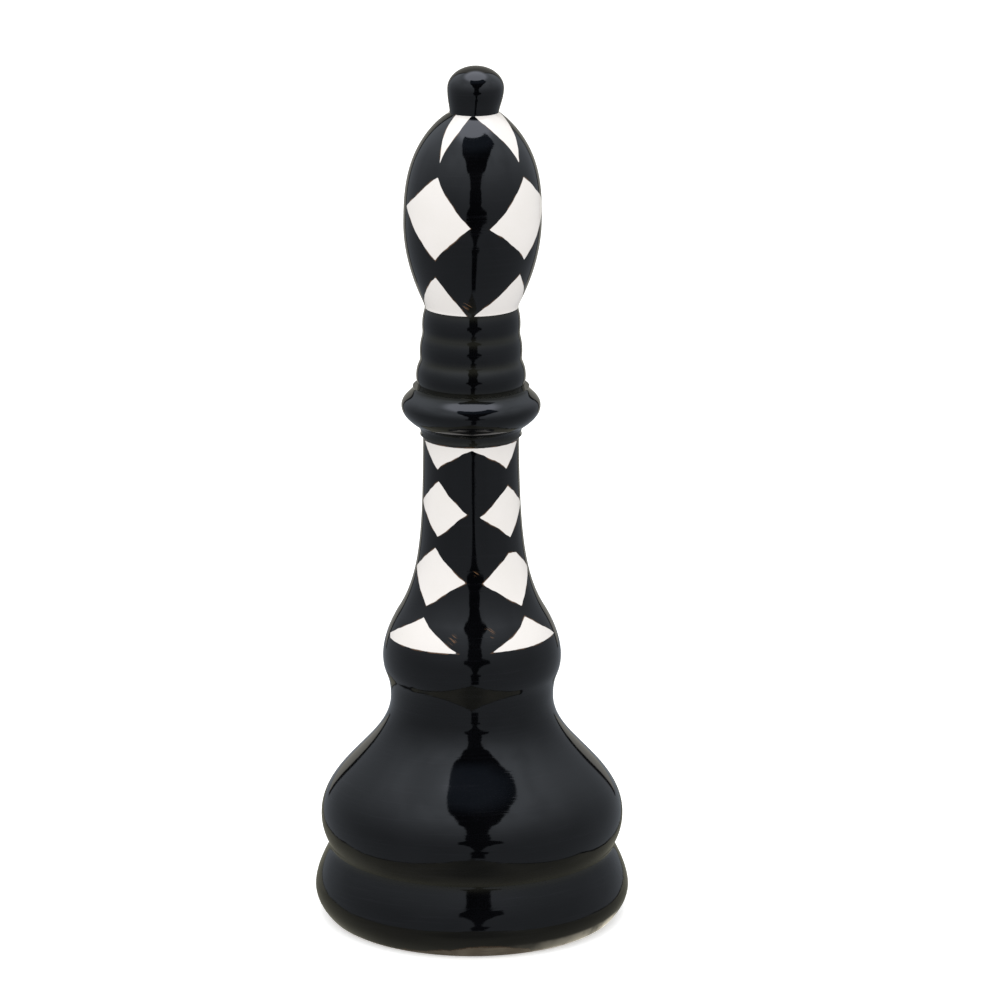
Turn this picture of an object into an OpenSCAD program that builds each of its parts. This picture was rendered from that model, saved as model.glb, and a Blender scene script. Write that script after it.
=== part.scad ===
/* [Main widths] */
// Radius of the foot at its widest
foot_r = 84.5; // [78:0.5:104]
// Radius of the circle that the piece stands on
stand_r = 76.9; // [72:0.1:77.5]
// Radius of the bell at its widest
bell_r = 81; // [76:0.5:90]
// Radius at the waist between bell and stem
waist_r = 43.4; // [38:0.2:46]
// Radius of the swelling above the waist
knop_r = 47.5; // [46.5:0.5:54]
// Radius of the slender part of the stem
stem_r = 25.1; // [23:0.1:30]
// Radius of the collar at its widest
collar_r = 36.7; // [34:0.1:42]
// Radius of the mitre at its widest
head_r = 36.2; // [33:0.2:42]
// Radius of the finial at its widest
finial_r = 14.8; // [13.8:0.1:17]

/* [Section heights] */
// Height of the foot section
foot_h = 38.5; // [36:0.5:46]
// Height of the bell, from the foot's groove to the waist
bell_h = 82; // [74:0.5:96]
// Height of the stem section, from the waist to the collar
stem_h = 144; // [110:0.5:180]
// Height of the collar section
collar_h = 26; // [24:0.5:31]
// Height of the ribbed neck
neck_h = 42.5; // [37:0.5:51]
// Height of the mitre section
head_h = 103; // [92:0.5:124]
// Height of the finial above the mitre
finial_h = 24; // [20:0.5:27]

/* [Grooves and ribs] */
// Radius of the groove above the foot
foot_groove_r = 75.2; // [73:0.1:77]
// Radius at the neck's first groove
neck_low_r = 27.4; // [26.5:0.1:29]
// Radius at the neck's top groove
neck_top_r = 24; // [23.5:0.1:26]
// How far the lowest rib stands out of the neck
low_rib_d = 2; // [1:0.1:3]
// How far the upper ribs stand out of the neck
rib_d = 1.2; // [0.6:0.1:2.2]
// Radius of the small throat under the finial
throat_r = 12.9; // [12:0.1:13.6]

/* [Casting walls and joints] */
// Thickness of the castings
wall = 6; // [5:0.1:7.2]
// Thickness of the rim that surrounds each spigot
rim_t = 2.6; // [2.2:0.1:3]
// Depth of the socket in each rim
socket_d = 8; // [6.5:0.1:9.6]
// Thickness of the bonding cement in the joints
cement_t = 0.4; // [0.3:0.05:0.5]
// How far the cement stays back from the outer face
cement_back = 0.8; // [0.4:0.1:1]

/* [Underside] */
// Height of the hollow under the floor
recess_h = 11; // [9:0.5:13]
// Width of the ring that the piece stands on
stand_w = 11; // [9:0.5:13]
// Thickness of the floor
floor_t = 6.5; // [5:0.1:7.8]
// Radius of the hole in the floor
hole_r = 16; // [13:0.5:19]
// Height of the ballast cast into the foot
ballast_h = 30; // [24:1:36]
// Thickness of the flange of the stopper
flange_t = 2.5; // [2:0.1:3]
// How far the flange reaches past the hole
flange_w = 5; // [4:0.5:6]
// Gap round the stopper
stopper_gap = 0.3; // [0.25:0.05:0.4]

/* [Hidden] */
$fn = 96;
steps = 14;               // points along each curve
rib_count = 3;

// Heights of the joints, from the ground up
z_bell = foot_h;
z_stem = z_bell + bell_h;
z_collar = z_stem + stem_h;
z_neck = z_collar + collar_h;
z_head = z_neck + neck_h;
z_finial = z_head + head_h;
z_top = z_finial + finial_h;

// Where each section is widest, as a share of its height
foot_wide_at = 0.38;
bell_wide_at = 0.2;
knop_at = 0.158;
flare_at = 0.33;          // the end of the knop and the start of the stem's flare
bead_at = 0.17;
collar_wide_at = 0.6;
head_wide_at = 0.44;
finial_wide_at = 0.52;

z_foot_wide = foot_h * foot_wide_at;
z_bell_wide = z_bell + bell_h * bell_wide_at;
z_knop = z_stem + stem_h * knop_at;
z_flare = z_stem + stem_h * flare_at;
z_bead = z_collar + collar_h * bead_at;
z_collar_wide = z_collar + collar_h * collar_wide_at;
z_head_wide = z_head + head_h * head_wide_at;
z_finial_wide = z_finial + finial_h * finial_wide_at;

// How quickly each bulge falls away: 2 is a parabola, less is straighter
foot_under_p = 2;
foot_over_p = 1.65;
bell_under_p = 2.2;
knop_over_p = 1.8;
bead_p = 1.6;
collar_under_p = 2;
head_under_p = 1.95;
rib_p = 2.2;
head_p = 2.7;             // the dome of the mitre, along its height
head_q = 1.44;            // and across

// How long each S-curve stays upright at its two ends
bell_hold = [0.4, 0.39];
waist_hold = [0.6, 0.46];
collar_hold = [0.5, 0.3];
finial_hold = [0.2, 0.45];

knop_drop = 8.1;                // from the knop to the start of the stem's flare
flare_len = stem_h * 0.156;     // length over which the flare loses two thirds of its width
bell_low_r = foot_groove_r + 0.4;
collar_foot_r = stem_r + 1.1;   // bottom of the collar
collar_bead_r = stem_r + 2.3;   // small bead that the collar grows out of
collar_top_r = neck_low_r + 2.6;
edge_r = 1;                     // rounding of the standing ring
min_step = 0.5;                 // shortest height between two rings of the hollow
max_slope = 1.2;                // steepest slope over which the wall keeps its full thickness
grip_r = hole_r * 0.62;         // finger grip of the stopper
grip_neck_r = hole_r * 0.4;
grip_t = 2.5;
grip_gap = 2;                   // between grip and ground
plug_taper = 0.8;
well_gap = 3;                   // between the stopper and the ballast
ballast_gap = 0.2;              // between the ballast and the wall of the hollow

rib_h = neck_h / rib_count;

// ---- curves: each gives points [radius, height] from (r0, z0) to (r1, z1) ----

// A bulge: level with the axis at (r0, z0), falling away as the power p of the way
function bulge(r0, z0, r1, z1, p) =
    [for (i = [0 : steps]) let (u = i / steps) [r0 - (r0 - r1) * pow(u, p), z0 + (z1 - z0) * u]];

// An S-curve that starts and ends parallel to the axis; hold sets how long it stays so
function ogee(r0, z0, r1, z1, hold) =
    [for (i = [0 : steps])
        let (t = i / steps, s = 1 - t, h = z1 - z0)
        [r0 + (r1 - r0) * t * t * (3 - 2 * t),
         z0 * pow(s, 3) + 3 * (z0 + hold[0] * h) * s * s * t
             + 3 * (z1 - hold[1] * h) * s * t * t + z1 * pow(t, 3)]];

// A flare that closes in on the radius r1, losing two thirds of the difference every len
function flare(r0, z0, r1, z1, len) =
    [for (i = [0 : steps])
        let (z = z0 + (z1 - z0) * i / steps) [r1 + (r0 - r1) * exp(-(z - z0) / len), z]];

// A dome from the widest ring (r0, z0), which would close at the height z_top
function dome(r0, z0, z1, z_top, p, q) =
    [for (i = [0 : steps])
        let (z = z0 + (z1 - z0) * i / steps, u = (z - z0) / (z_top - z0))
        [r0 * pow(1 - pow(u, p), 1 / q), z]];

// A rounded rib between two grooves, standing out by d
function rib(r0, z0, r1, z1, d) =
    [for (i = [0 : steps])
        let (u = i / steps) [r0 + (r1 - r0) * u + d * (1 - pow(abs(2 * u - 1), rib_p)),
                             z0 + (z1 - z0) * u]];

function reversed(a) = [for (i = [len(a) - 1 : -1 : 0]) a[i]];

// Joins curves that share their end points
function chain(curves) =
    [for (c = [0 : len(curves) - 1]) for (i = [(c == 0 ? 0 : 1) : len(curves[c]) - 1]) curves[c][i]];

// ---- outer outlines, bottom to top ----

foot_line = chain([
    reversed(bulge(foot_r, z_foot_wide, stand_r, 0, foot_under_p)),
    bulge(foot_r, z_foot_wide, foot_groove_r, z_bell, foot_over_p)]);

bell_line = chain([
    reversed(bulge(bell_r, z_bell_wide, bell_low_r, z_bell, bell_under_p)),
    ogee(bell_r, z_bell_wide, waist_r, z_stem, bell_hold)]);

flare_r = knop_r - knop_drop;
stem_line = chain([
    ogee(waist_r, z_stem, knop_r, z_knop, waist_hold),
    bulge(knop_r, z_knop, flare_r, z_flare, knop_over_p),
    flare(flare_r, z_flare, stem_r, z_collar, flare_len)]);

collar_line = chain([
    bulge(collar_foot_r, z_collar, collar_bead_r, z_bead, bead_p),
    reversed(bulge(collar_r, z_collar_wide, collar_bead_r, z_bead, collar_under_p)),
    ogee(collar_r, z_collar_wide, collar_top_r, z_neck, collar_hold)]);

function neck_r(i) = neck_low_r + (neck_top_r - neck_low_r) * i / rib_count;
neck_line = chain([for (i = [0 : rib_count - 1])
    rib(neck_r(i), z_neck + i * rib_h, neck_r(i + 1), z_neck + (i + 1) * rib_h,
        i == 0 ? low_rib_d : rib_d)]);

// The dome of the mitre would close a little above the throat, so that it meets it at throat_r
head_close = pow(1 - pow(throat_r / head_r, head_q), 1 / head_p);
z_head_close = z_head_wide + (z_finial - z_head_wide) / head_close;
head_line = chain([
    reversed(bulge(head_r, z_head_wide, neck_top_r, z_head, head_under_p)),
    dome(head_r, z_head_wide, z_finial, z_head_close, head_p, head_q)]);

// The finial ends in a quarter of an ellipse
finial_line = chain([
    ogee(throat_r, z_finial, finial_r, z_finial_wide, finial_hold),
    [for (i = [0 : steps]) let (a = 90 * i / steps)
        [finial_r * cos(a), z_finial_wide + (z_top - z_finial_wide) * sin(a)]]]);

// ---- castings ----

// Radius of the socket in the rim whose narrowest outer radius is r
function socket_r(r) = r - rim_t;

// The hollow's line: each outer point moved in by the wall, measured square to the surface
function slope(line, i) =
    let (a = line[max(i - 1, 0)], b = line[min(i + 1, len(line) - 1)])
    (b[0] - a[0]) / (b[1] - a[1]);
function hollow(line, z0, z1) =
    [for (i = [0 : len(line) - 1])
        if (line[i][1] > z0 && line[i][1] < z1)
            [line[i][0] - wall * sqrt(1 + pow(min(abs(slope(line, i)), max_slope), 2)), line[i][1]]];

// A hollow casting: a spigot below (its socket's radius is low_r) and a socket above (top_r)
module casting(line, low_r, top_r) {
    z0 = line[0][1];
    z1 = line[len(line) - 1][1];
    spigot_r = low_r - cement_t;
    spigot_in = low_r - wall + rim_t;
    inner = hollow(line, z0 + min_step, z1 - socket_d - min_step);
    rotate_extrude()
        polygon(concat(
            [[spigot_in, z0 - socket_d + 2 * cement_t], [spigot_r, z0 - socket_d + 2 * cement_t],
             [spigot_r, z0 + cement_t], [line[0][0], z0 + cement_t]],
            [for (i = [1 : len(line) - 1]) line[i]],
            [[top_r, z1], [top_r, z1 - socket_d],
             [inner[len(inner) - 1][0], z1 - socket_d]],
            reversed(inner),
            [[spigot_in, inner[0][1]]]));
}

module foot_casting() {
    stand_in = stand_r - stand_w;
    z1 = z_bell;
    inner = hollow(foot_line, recess_h + floor_t + min_step, z1 - socket_d - min_step);
    color([0.05, 0.05, 0.06])
        rotate_extrude()
            polygon(concat(
                [[hole_r, recess_h], [stand_in, recess_h], [stand_in, edge_r],
                 [stand_in + edge_r, 0], [stand_r - edge_r, 0]],
                [for (p = foot_line) if (p[1] > edge_r / 2) p],
                [[socket_r(foot_groove_r), z1], [socket_r(foot_groove_r), z1 - socket_d],
                 [inner[len(inner) - 1][0], z1 - socket_d]],
                reversed(inner),
                [[inner[0][0], recess_h + floor_t], [hole_r, recess_h + floor_t]]));
}

module bell_casting() {
    color([0.05, 0.05, 0.06])
        casting(bell_line, socket_r(foot_groove_r), socket_r(waist_r));
}

module stem_casting() {
    color([0.95, 0.94, 0.9])
        casting(stem_line, socket_r(waist_r), socket_r(stem_r));
}

module collar_casting() {
    color([0.05, 0.05, 0.06])
        casting(collar_line, socket_r(stem_r), socket_r(neck_low_r));
}

module neck_casting() {
    color([0.05, 0.05, 0.06])
        casting(neck_line, socket_r(neck_low_r), socket_r(neck_top_r));
}

module head_casting() {
    color([0.95, 0.94, 0.9])
        casting(head_line, socket_r(neck_top_r), socket_r(throat_r));
}

// The finial is cast solid, with its spigot under it
module finial_casting() {
    spigot_r = socket_r(throat_r) - cement_t;
    color([0.05, 0.05, 0.06])
        rotate_extrude()
            polygon(concat(
                [[0, z_finial - socket_d + 2 * cement_t], [spigot_r, z_finial - socket_d + 2 * cement_t],
                 [spigot_r, z_finial + cement_t], [throat_r, z_finial + cement_t]],
                [for (p = finial_line) if (p[1] > z_finial + cement_t) p]));
}

// ---- cement ----

// A bed between the two faces and a sleeve between spigot and socket
module cement(z, socket, face_r) {
    sleeve_in = socket - cement_t;
    color([0.8, 0.78, 0.72])
        rotate_extrude()
            polygon([[sleeve_in, z - socket_d + 2 * cement_t], [socket, z - socket_d + 2 * cement_t],
                     [socket, z], [face_r - cement_back, z],
                     [face_r - cement_back, z + cement_t], [sleeve_in, z + cement_t]]);
}

module foot_cement() { cement(z_bell, socket_r(foot_groove_r), foot_groove_r); }
module waist_cement() { cement(z_stem, socket_r(waist_r), waist_r); }
module collar_cement() { cement(z_collar, socket_r(stem_r), stem_r); }
module neck_cement() { cement(z_neck, socket_r(neck_low_r), neck_low_r); }
module head_cement() { cement(z_head, socket_r(neck_top_r), neck_top_r); }
module finial_cement() { cement(z_finial, socket_r(throat_r), throat_r); }

// ---- inside the foot ----

well_r = hole_r + well_gap;

// Plaster poured on the floor, round the well that holds the stopper
module ballast() {
    z0 = recess_h + floor_t;
    room = hollow(foot_line, z0 + min_step, z_bell - socket_d - min_step);
    side_r = min([for (p = room) p[0]]) - ballast_gap;
    spigot_in = socket_r(foot_groove_r) - wall + rim_t;
    above = hollow(bell_line, z_bell + min_step, z0 + ballast_h);
    above_r = min([for (p = above) p[0]]) - ballast_gap;
    top_r = min(side_r, spigot_in - ballast_gap, above_r);
    z_ledge = z_bell - socket_d;
    color([0.85, 0.83, 0.78])
        rotate_extrude()
            polygon([[well_r, z0], [side_r, z0], [side_r, z_ledge], [top_r, z_ledge],
                     [top_r, z0 + ballast_h], [well_r, z0 + ballast_h]]);
}

// Rubber stopper: a tapered plug, a flange under the floor and a finger grip
module fill_stopper() {
    plug_r = hole_r - stopper_gap;
    z_flange = recess_h - stopper_gap;
    color([0.3, 0.3, 0.3])
        rotate_extrude()
            polygon([[0, grip_gap], [grip_r, grip_gap], [grip_r, grip_gap + grip_t],
                     [grip_neck_r, grip_gap + grip_t + 1], [grip_neck_r, z_flange - flange_t],
                     [hole_r + flange_w, z_flange - flange_t], [hole_r + flange_w, z_flange],
                     [plug_r, z_flange], [plug_r - plug_taper, recess_h + floor_t],
                     [0, recess_h + floor_t]]);
}

foot_casting();
bell_casting();
stem_casting();
collar_casting();
neck_casting();
head_casting();
finial_casting();
foot_cement();
waist_cement();
collar_cement();
neck_cement();
head_cement();
finial_cement();
ballast();
fill_stopper();
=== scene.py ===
"""Looks of a giant bishop in glazed ceramic with painted diamonds, built round its packed frame.

Every length is in metres. Angles round the piece start at the front, and grow to the right.
"""
import math

import bpy
import numpy as np
from bpy.props import FloatProperty, FloatVectorProperty, IntProperty, PointerProperty
from bpy.types import Operator, Panel, PropertyGroup
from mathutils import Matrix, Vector


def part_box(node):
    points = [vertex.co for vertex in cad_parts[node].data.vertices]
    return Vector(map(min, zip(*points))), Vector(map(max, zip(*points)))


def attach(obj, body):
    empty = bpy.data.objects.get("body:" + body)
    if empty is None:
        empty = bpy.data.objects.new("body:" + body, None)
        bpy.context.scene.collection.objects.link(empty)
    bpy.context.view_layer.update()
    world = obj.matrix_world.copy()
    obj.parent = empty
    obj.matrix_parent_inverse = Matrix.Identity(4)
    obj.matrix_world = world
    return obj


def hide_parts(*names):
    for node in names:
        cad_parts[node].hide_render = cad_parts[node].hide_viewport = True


bl_info = {
    "name": "Glazed Bishop",
    "version": (1, 0, 0),
    "blender": (4, 5, 0),
    "location": "View3D > Sidebar > Bishop",
    "description": "Makes a giant glazed bishop with painted diamonds round its packed frame",
    "category": "Object",
}

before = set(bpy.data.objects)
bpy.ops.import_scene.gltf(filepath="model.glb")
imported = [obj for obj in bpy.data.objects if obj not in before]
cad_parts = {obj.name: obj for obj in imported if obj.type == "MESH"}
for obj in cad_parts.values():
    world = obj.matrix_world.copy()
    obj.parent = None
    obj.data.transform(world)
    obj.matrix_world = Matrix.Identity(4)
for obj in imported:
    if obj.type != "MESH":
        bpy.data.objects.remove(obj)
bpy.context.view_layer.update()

BODY = "piece"
CURVE_POINTS = 64         # points worked out along each curve of an outline
MM = 0.001
CEMENT = 0.4 * MM         # thickness of the cement in the joints
POOL = 1.1 * MM           # half width of the glaze that pools in a groove
FOOT_POOL = 1.8 * MM      # the same in the deeper groove above the foot
OUTSIDE = -0.05           # "how far inside" before any diamond is painted
BACKDROP = math.radians(143)     # angle behind which the mirrored backdrop starts
TENT_STEP = 0.01          # height between rows of points on the mirrored walls
TENT_COLUMNS = 720        # columns of points round the mirrored walls

# Edge of the dark gap in the mirrored walls: height along the wall, and the angles in degrees
# from the middle of the gap to its left and right edges.
TENT_GAP = (
    (-0.02, 5, 5), (0.05, 5, 8), (0.08, 2.5, 2.5), (0.12, 2.5, 3), (0.2, 5, 6), (0.25, 10, 12),
    (0.27, 15, 20), (0.33, 14, 18), (0.38, 9, 9), (0.42, 9, 9.5), (0.57, 9, 9), (0.78, 11, 13),
    (0.85, 16, 20), (1.05, 22, 30), (1.24, 31, 42), (1.36, 35, 62), (1.7, 42, 62), (2.1, 46, 60),
    (2.19, 44, 54), (2.21, -9, -9))


# ---------------------------------------------------------------------------
# Sizes and colours
# ---------------------------------------------------------------------------

def length(name, description, default):
    return FloatProperty(name=name, description=description, default=default, precision=5,
                         unit="LENGTH", subtype="DISTANCE")


def angle(name, description, degrees):
    return FloatProperty(name=name, description=description, default=math.radians(degrees),
                         unit="ROTATION", subtype="ANGLE")


def share(name, description, default):
    return FloatProperty(name=name, description=description, default=default, min=0, max=1,
                         subtype="FACTOR")


def colour(name, description, default):
    return FloatVectorProperty(name=name, description=description, default=default, size=3,
                               min=0, max=1, subtype="COLOR")


def widest(node):
    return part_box(node)[1].x


def joint_height(cement):
    """A bed of cement lies on its joint, so the joint is one bed below the top of the cement."""
    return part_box(cement)[1].z - CEMENT


class BishopOutline(PropertyGroup):
    """Radii of the turned outline and heights of its joints."""
    foot_r: length("Foot", "Radius of the foot at its widest", widest("foot_casting"))
    stand_r: length("Stand", "Radius of the circle that the piece stands on", 76.9 * MM)
    groove_r: length("Foot groove", "Radius of the groove above the foot", 75.2 * MM)
    bell_r: length("Bell", "Radius of the bell at its widest", widest("bell_casting"))
    waist_r: length("Waist", "Radius between bell and stem", 43.4 * MM)
    knop_r: length("Knop", "Radius of the swelling above the waist", widest("stem_casting"))
    knop_drop: length("Knop drop", "How much narrower the knop is where the flare starts", 8.1 * MM)
    stem_r: length("Stem", "Radius of the slender part of the stem", 25.1 * MM)
    collar_r: length("Collar", "Radius of the collar at its widest", widest("collar_casting"))
    neck_low_r: length("Neck, low", "Radius at the first groove of the neck", 27.4 * MM)
    neck_top_r: length("Neck, top", "Radius at the top groove of the neck", 24 * MM)
    low_rib: length("Low rib", "How far the lowest rib stands out", 2 * MM)
    rib: length("Ribs", "How far the upper ribs stand out", 1.2 * MM)
    head_r: length("Mitre", "Radius of the mitre at its widest", widest("head_casting"))
    throat_r: length("Throat", "Radius under the finial", 12.9 * MM)
    finial_r: length("Finial", "Radius of the finial at its widest", widest("finial_casting"))
    bell_z: length("Bell joint", "Height of the joint between foot and bell",
                   joint_height("foot_cement"))
    stem_z: length("Stem joint", "Height of the joint at the waist",
                   joint_height("waist_cement"))
    collar_z: length("Collar joint", "Height of the joint under the collar",
                     joint_height("collar_cement"))
    neck_z: length("Neck joint", "Height of the joint under the neck",
                   joint_height("neck_cement"))
    head_z: length("Mitre joint", "Height of the joint under the mitre",
                   joint_height("head_cement"))
    finial_z: length("Finial joint", "Height of the joint under the finial",
                     joint_height("finial_cement"))
    top_z: length("Top", "Height of the whole piece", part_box("finial_casting")[1].z)


class BishopWalls(PropertyGroup):
    """Thicknesses of the castings and of their joints."""
    wall: length("Wall", "Thickness of the castings", 6 * MM)
    rim: length("Rim", "Thickness of the rim round each spigot", 2.6 * MM)
    socket: length("Socket", "Depth of each socket", 8 * MM)
    cement: length("Cement", "Thickness of the cement", CEMENT)
    cement_back: length("Cement set back", "How far the cement stays behind the face", 0.8 * MM)
    lip: length("Lip", "Width of the glaze that closes each joint", 0.5 * MM)
    lip_gap: length("Lip gap", "Height of the fine line left at each joint", 0.02 * MM)
    recess: length("Recess", "Height of the hollow under the floor", 11 * MM)
    stand_width: length("Standing ring", "Width of the ring that the piece stands on", 11 * MM)
    floor: length("Floor", "Thickness of the floor", 6.5 * MM)
    hole_r: length("Hole", "Radius of the hole in the floor", 16 * MM)


class BishopHand(PropertyGroup):
    """How far the hand-finished piece strays from the true shape."""
    oval: share("Out of round", "Share by which radii swell and shrink", 0.0024)
    finial_lean: length("Finial lean", "How far the finial sits to the right", 1.1 * MM)
    head_lean: length("Mitre lean", "How far the top of the mitre leans to the right", 0.8 * MM)
    collar_shift: length("Collar shift", "How far the collar sits to the left", 0.5 * MM)
    skin: length("Foot skin", "Depth of the waves in the skin of the foot", 0.3 * MM)
    seed: IntProperty(name="Seed", description="Start of the chance numbers", default=7, min=0)


class BishopDiamonds(PropertyGroup):
    """Places and sizes of the painted diamonds."""
    head_rows: length("Mitre rows", "Height between rows on the mitre", 51.5 * MM)
    head_half: length("Mitre half height", "Half height of a diamond on the mitre", 22 * MM)
    head_left: angle("Mitre left column", "Angle of the left column on the mitre", -34)
    head_right: angle("Mitre right column", "Angle of the right column on the mitre", 50)
    stem_low: length("Lowest stem row", "Height of the lowest row on the stem", 156.5 * MM)
    stem_rows: length("Stem rows", "Height between rows on the stem", 36 * MM)
    stem_half: length("Stem half height", "Half height of a diamond on the stem", 15.2 * MM)
    stem_left: angle("Stem left column", "Angle of the left column on the stem", -43)
    stem_right: angle("Stem right column", "Angle of the right column on the stem", 47)
    stem_cut: length("Stem cut", "Height where one diamond loses its corner", 204.6 * MM)
    collar_line: length("Collar line", "Height where the black of the collar begins", 262.7 * MM)


class BishopColours(PropertyGroup):
    """Colours of the finishes."""
    black: colour("Black glaze", "Colour of the black glaze", (0.0009, 0.0010, 0.0013))
    black_thick: colour("Thick black", "Colour where the black lies thick",
                        (0.0018, 0.0019, 0.0024))
    white: colour("White glaze", "Colour of the white diamonds", (0.765, 0.735, 0.705))
    thin: colour("Thin glaze", "Brown where the glaze is thin", (0.115, 0.062, 0.03))
    clay: colour("Bare clay", "Colour of the bare clay", (0.072, 0.054, 0.032))
    cement: colour("Cement", "Colour of the cement", (0.62, 0.58, 0.5))
    plaster: colour("Plaster", "Colour of the plaster", (0.78, 0.75, 0.69))
    rubber: colour("Rubber", "Colour of the stopper", (0.028, 0.028, 0.03))


class BishopStage(PropertyGroup):
    """Camera, floor and the surroundings that the glaze mirrors."""
    eye: FloatVectorProperty(name="Eye", description="Place of the camera", size=3,
                             default=(0, -2.45, 0.89), subtype="TRANSLATION", unit="LENGTH")
    aim: FloatVectorProperty(name="Aim", description="Point that the camera looks at", size=3,
                             default=(0, 0, 0.22795), subtype="TRANSLATION", unit="LENGTH")
    lens: FloatProperty(name="Lens", description="Focal length on a 36 mm sensor", min=1,
                        default=172.785, unit="CAMERA")
    shift: FloatProperty(name="Shift", description="Sideways shift of the view", default=0.028)
    floor: length("Floor", "Width of the floor", 14.0)
    tent_r: length("Tent", "Distance of the mirrored walls", 0.8)
    tent_top: length("Tent top", "Height of the mirrored lamp overhead", 2.1)
    gap: angle("Tent gap", "Angle of the dark gap between the walls", 4.0)
    wall_light: colour("Tent walls", "Light of the mirrored walls", (0.84, 0.91, 1.0))
    floor_light: colour("Tent floor", "Light of the mirrored floor", (0.27, 0.265, 0.215))
    lamp_light: colour("Tent lamp", "Colour of the mirrored lamp overhead", (0.84, 0.88, 1.0))
    lamp_power: FloatProperty(name="Lamp", description="Strength of the mirrored lamp", default=3.1)


# ---------------------------------------------------------------------------
# Curves of the outline: arrays of [radius, height]
# ---------------------------------------------------------------------------

def way():
    return np.linspace(0.0, 1.0, CURVE_POINTS)


def bulge(r0, z0, r1, z1, power):
    """Height goes evenly from z0 to z1; radius falls from r0 to r1 as the way ** power."""
    u = way()
    return np.stack([r0 - (r0 - r1) * u**power, z0 + (z1 - z0) * u], 1)


def ogee(r0, z0, r1, z1, hold):
    """Radius follows 3t^2 - 2t^3; height is a cubic Bezier held back at its ends by hold."""
    t, h = way(), z1 - z0
    s = 1 - t
    z = (z0 * s**3 + 3 * (z0 + hold[0] * h) * s * s * t
         + 3 * (z1 - hold[1] * h) * s * t * t + z1 * t**3)
    return np.stack([r0 + (r1 - r0) * t * t * (3 - 2 * t), z], 1)


def flare(r0, z0, r1, z1, fall):
    """Radius closes in on r1 as exp(-height / fall)."""
    z = z0 + (z1 - z0) * way()
    return np.stack([r1 + (r0 - r1) * np.exp(-(z - z0) / fall), z], 1)


def dome(r0, z0, z1, z_close, power, root):
    """Radius is r0 * (1 - u^power)^(1/root), where u goes from 0 at z0 to 1 at z_close."""
    z = z0 + (z1 - z0) * way()
    return np.stack([r0 * (1 - ((z - z0) / (z_close - z0))**power)**(1 / root), z], 1)


def rib(r0, z0, r1, z1, depth, power=2.2):
    """A straight line, with depth * (1 - |2u - 1|^power) added to its radius."""
    u = way()
    return np.stack([r0 + (r1 - r0) * u + depth * (1 - np.abs(2 * u - 1)**power),
                     z0 + (z1 - z0) * u], 1)


def quarter(r, z0, z1):
    """A quarter of an ellipse from (r, z0) to the axis at z1."""
    a = way() * math.pi / 2
    return np.stack([r * np.cos(a), z0 + (z1 - z0) * np.sin(a)], 1)


def chain(*curves):
    return np.concatenate([curves[0]] + [c[1:] for c in curves[1:]])


def evenly(line, step):
    """The same line with its points the same step apart along it."""
    run = np.concatenate([[0], np.cumsum(np.hypot(*np.diff(line, axis=0).T))])
    at = np.linspace(0, run[-1], max(2, int(round(run[-1] / step)) + 1))
    return np.stack([np.interp(at, run, line[:, k]) for k in (0, 1)], 1)


def foot_line(o):
    z = o.bell_z * 0.38
    return chain(bulge(o.foot_r, z, o.stand_r, 0, 2)[::-1],
                 bulge(o.foot_r, z, o.groove_r, o.bell_z, 1.65))


def bell_line(o):
    z = o.bell_z + (o.stem_z - o.bell_z) * 0.2
    return chain(bulge(o.bell_r, z, o.groove_r + 0.4 * MM, o.bell_z, 2.2)[::-1],
                 ogee(o.bell_r, z, o.waist_r, o.stem_z, (0.4, 0.39)))


def stem_line(o):
    h = o.collar_z - o.stem_z
    knop, start = o.stem_z + h * 0.158, o.stem_z + h * 0.33
    low = o.knop_r - o.knop_drop
    return chain(ogee(o.waist_r, o.stem_z, o.knop_r, knop, (0.6, 0.46)),
                 bulge(o.knop_r, knop, low, start, 1.8),
                 flare(low, start, o.stem_r, o.collar_z, h * 0.156))


def collar_line(o):
    h = o.neck_z - o.collar_z
    bead, wide = o.collar_z + h * 0.17, o.collar_z + h * 0.6
    bead_r = o.stem_r + 2.3 * MM
    return chain(bulge(o.stem_r + 1.1 * MM, o.collar_z, bead_r, bead, 1.6),
                 bulge(o.collar_r, wide, bead_r, bead, 2)[::-1],
                 ogee(o.collar_r, wide, o.neck_low_r + 2.6 * MM, o.neck_z, (0.5, 0.3)))


def neck_line(o):
    r = np.linspace(o.neck_low_r, o.neck_top_r, 4)
    z = np.linspace(o.neck_z, o.head_z, 4)
    depth = (o.low_rib, o.rib, o.rib)
    return chain(*[rib(r[i], z[i], r[i + 1], z[i + 1], depth[i]) for i in range(3)])


def head_line(o):
    wide = o.head_z + (o.finial_z - o.head_z) * 0.44
    power, root = 2.7, 1.44
    close = wide + (o.finial_z - wide) / (1 - (o.throat_r / o.head_r)**root)**(1 / power)
    return chain(bulge(o.head_r, wide, o.neck_top_r, o.head_z, 1.95)[::-1],
                 dome(o.head_r, wide, o.finial_z, close, power, root))


def finial_line(o):
    wide = o.finial_z + (o.top_z - o.finial_z) * 0.52
    return chain(ogee(o.throat_r, o.finial_z, o.finial_r, wide, (0.2, 0.45)),
                 quarter(o.finial_r, wide, o.top_z))


def pooled(line, joints, width, steep=0.6):
    """Glaze that pools in grooves: at a distance x from a groove the radius grows by
    steep * (sqrt(x^2 + width^2) - |x|), which rounds a V into a small hollow."""
    r = line[:, 0].copy()
    for z in joints:
        x = line[:, 1] - z
        r += steep * (np.hypot(x, width) - np.abs(x)) * np.exp(-(x / (4 * width))**2)
    return np.stack([r, line[:, 1]], 1)


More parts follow.
